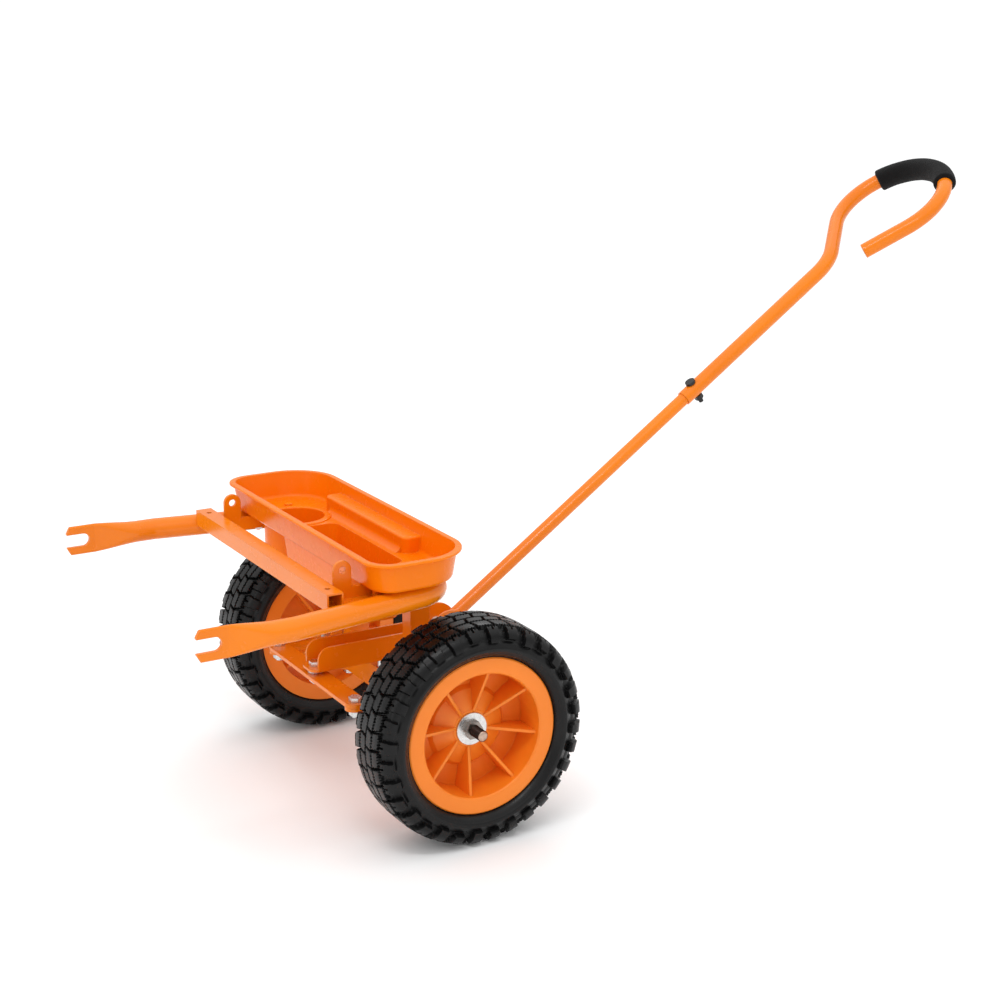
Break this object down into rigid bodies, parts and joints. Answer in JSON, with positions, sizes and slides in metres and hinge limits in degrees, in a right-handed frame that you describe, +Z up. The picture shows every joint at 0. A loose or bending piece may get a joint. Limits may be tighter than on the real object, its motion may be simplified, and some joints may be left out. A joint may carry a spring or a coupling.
{
  "type": "steerable yard cart front axle",
  "caption": "Steered two-wheel front axle with slotted fork frame, storage tray and tilting pull handle, for towing a wheelbarrow or cart as a wagon.",
  "frame": {"origin": "floor point midway between the two tyre contacts, below the axle beam's middle", "axes": "+X forward towards the pull handle, +Y left, +Z up"},
  "size_m": [1.1291, 0.4776, 0.6896],
  "materials": {
    "frame_paint": "gloss orange powder coat",
    "tray_plastic": "glossy moulded orange plastic",
    "rim_plastic": "satin moulded orange plastic",
    "tyre_rubber": "flat-free foam tyre, black",
    "grip_foam": "black foam",
    "zinc": "bright zinc plated",
    "bush_nylon": "natural nylon",
    "black_steel": "black oxide"
  },
  "bodies": {
    "frame": {"frame_tube": "frame_paint", "crossbar": "frame_paint", "ear_bracket_left": "frame_paint", "ear_bracket_right": "frame_paint", "post_left": "frame_paint", "post_right": "frame_paint", "axle_beam": "frame_paint", "tray": "tray_plastic", "tray_screws": "frame_paint", "tray_nuts": "zinc", "tray_spacers": "frame_paint", "centre_pivot_bolt": "zinc", "centre_pivot_nut": "zinc", "centre_spacer": "zinc", "kingpins": "zinc", "kingpin_nuts": "zinc"},
    "drawbar": {"drawbar_channel": "frame_paint", "tie_rod_centre_bolt": "zinc", "tie_rod_centre_nut": "zinc", "handle_pivot_bolt": "zinc", "handle_pivot_nut": "zinc", "handle_spacers": "bush_nylon", "handle_stop_bolt": "zinc"},
    "tie_rod": {"tie_rod": "frame_paint", "tie_rod_end_bolts": "zinc", "tie_rod_end_nuts": "zinc"},
    "knuckle_left": {"knuckle_left": "frame_paint", "spindle_left": "zinc", "spindle_collar_left": "zinc", "axle_washer_left": "zinc", "axle_nut_left": "zinc"},
    "wheel_left": {"rim_left": "rim_plastic", "tyre_left": "tyre_rubber", "wheel_bushes_left": "bush_nylon"},
    "knuckle_right": {"knuckle_right": "frame_paint", "spindle_right": "zinc", "spindle_collar_right": "zinc", "axle_washer_right": "zinc", "axle_nut_right": "zinc"},
    "wheel_right": {"rim_right": "rim_plastic", "tyre_right": "tyre_rubber", "wheel_bushes_right": "bush_nylon"},
    "handle": {"handle_lower_tube": "frame_paint", "handle_upper_tube": "frame_paint", "handle_grip": "grip_foam", "handle_joint_bolt": "black_steel", "handle_joint_nut": "black_steel"}
  },
  "joints": [
    {"name": "steer", "type": "hinge", "parent": "frame", "child": "drawbar", "pos_m": [0, 0, 0.15], "axis": [0, 0, 1], "range_deg": [-25, 25]},
    {"name": "knuckle_left_pivot", "type": "hinge", "parent": "frame", "child": "knuckle_left", "pos_m": [0, 0.106, 0.12], "axis": [0, 0, 1], "range_deg": [-25, 25]},
    {"name": "knuckle_right_pivot", "type": "hinge", "parent": "frame", "child": "knuckle_right", "pos_m": [0, -0.106, 0.12], "axis": [0, 0, 1], "range_deg": [-25, 25]},
    {"name": "tie_rod_pivot", "type": "hinge", "parent": "drawbar", "child": "tie_rod", "pos_m": [-0.094, 0, 0.142], "axis": [0, 0, 1], "range_deg": [-25, 25]},
    {"name": "wheel_left_spin", "type": "hinge", "parent": "knuckle_left", "child": "wheel_left", "pos_m": [0, 0.1978, 0.127], "axis": [0, 1, 0], "continuous": true},
    {"name": "wheel_right_spin", "type": "hinge", "parent": "knuckle_right", "child": "wheel_right", "pos_m": [0, -0.1978, 0.127], "axis": [0, 1, 0], "continuous": true},
    {"name": "handle_pitch", "type": "hinge", "parent": "drawbar", "child": "handle", "pos_m": [0.072, 0, 0.1713], "axis": [0, -1, 0], "range_deg": [0, 65]}
  ],
  "couplings": [
    {"joint": "knuckle_left_pivot", "follows": "steer", "ratio": 1},
    {"joint": "knuckle_right_pivot", "follows": "steer", "ratio": 1},
    {"joint": "tie_rod_pivot", "follows": "steer", "ratio": -1}
  ]
}
